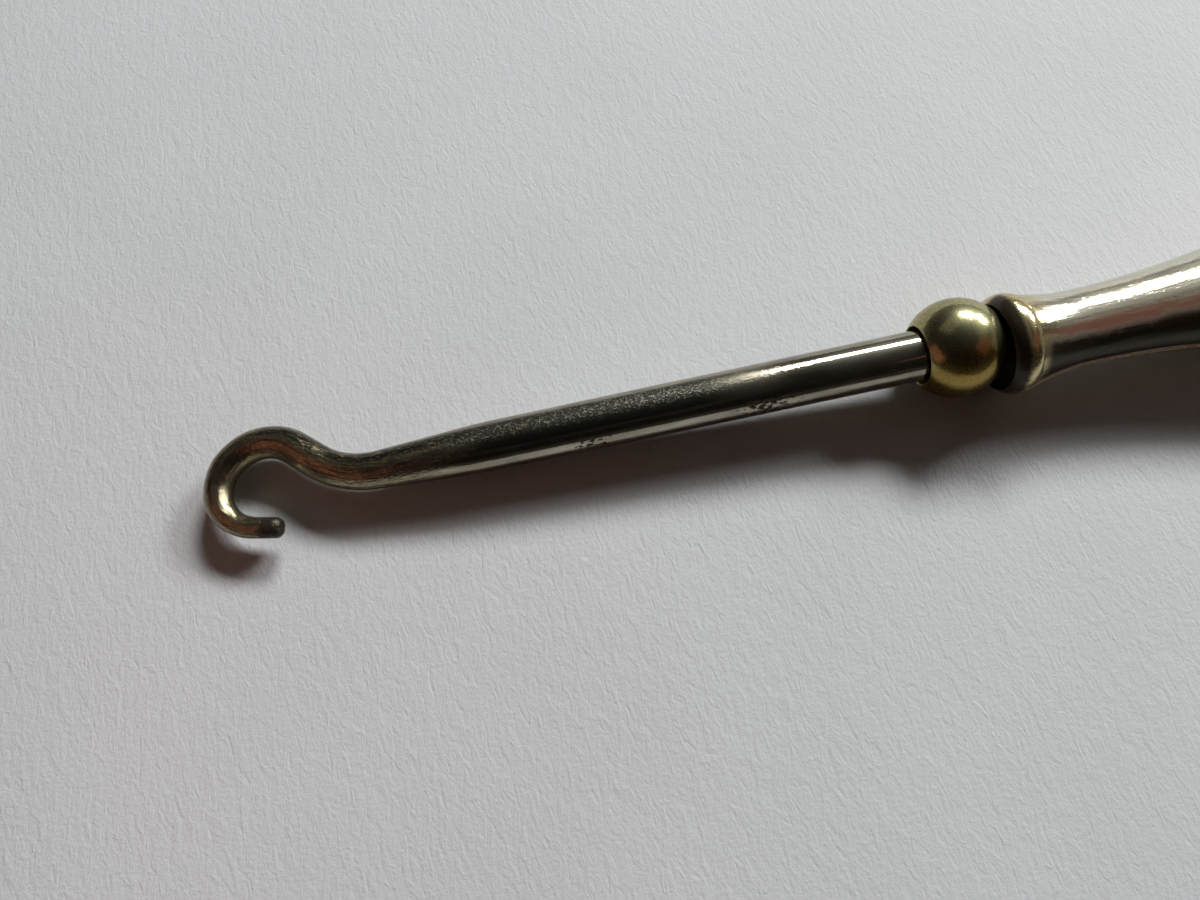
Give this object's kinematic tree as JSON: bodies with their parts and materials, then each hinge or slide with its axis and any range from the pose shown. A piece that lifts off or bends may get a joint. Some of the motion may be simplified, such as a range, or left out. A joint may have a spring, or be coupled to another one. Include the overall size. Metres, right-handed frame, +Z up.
{
  "type": "button hook",
  "caption": "Steel crook on a straight round shank, with a ball bolster seated in the mouth ring of a hollow oval handle, for drawing small buttons through tight buttonholes.",
  "frame": {"origin": "centre of the object's box, on the level surface that it lies on", "axes": "+X runs from the hook to the butt of the handle, +Y points to the side that the crook stands off to, and +Z is up from the surface that it lies on"},
  "size_m": [0.1656, 0.0164, 0.0131],
  "materials": {
    "aged_steel": "worn polished steel with brown patina and fine rust pits",
    "tarnished_brass": "rubbed, olive tarnished brass",
    "old_silver": "polished silver with warm yellow tarnish, small dents and dark creases",
    "silver_solder": "filed flush silver solder, a little duller than the shells",
    "setting_pitch": "dark brown setting pitch"
  },
  "bodies": {
    "root": {"hook_shank": "aged_steel", "ball_bolster": "tarnished_brass", "mouth_ring": "old_silver", "handle_shell_upper": "old_silver", "handle_shell_lower": "old_silver", "seam_solder": "silver_solder", "pitch_filling": "setting_pitch"}
  },
  "joints": []
}
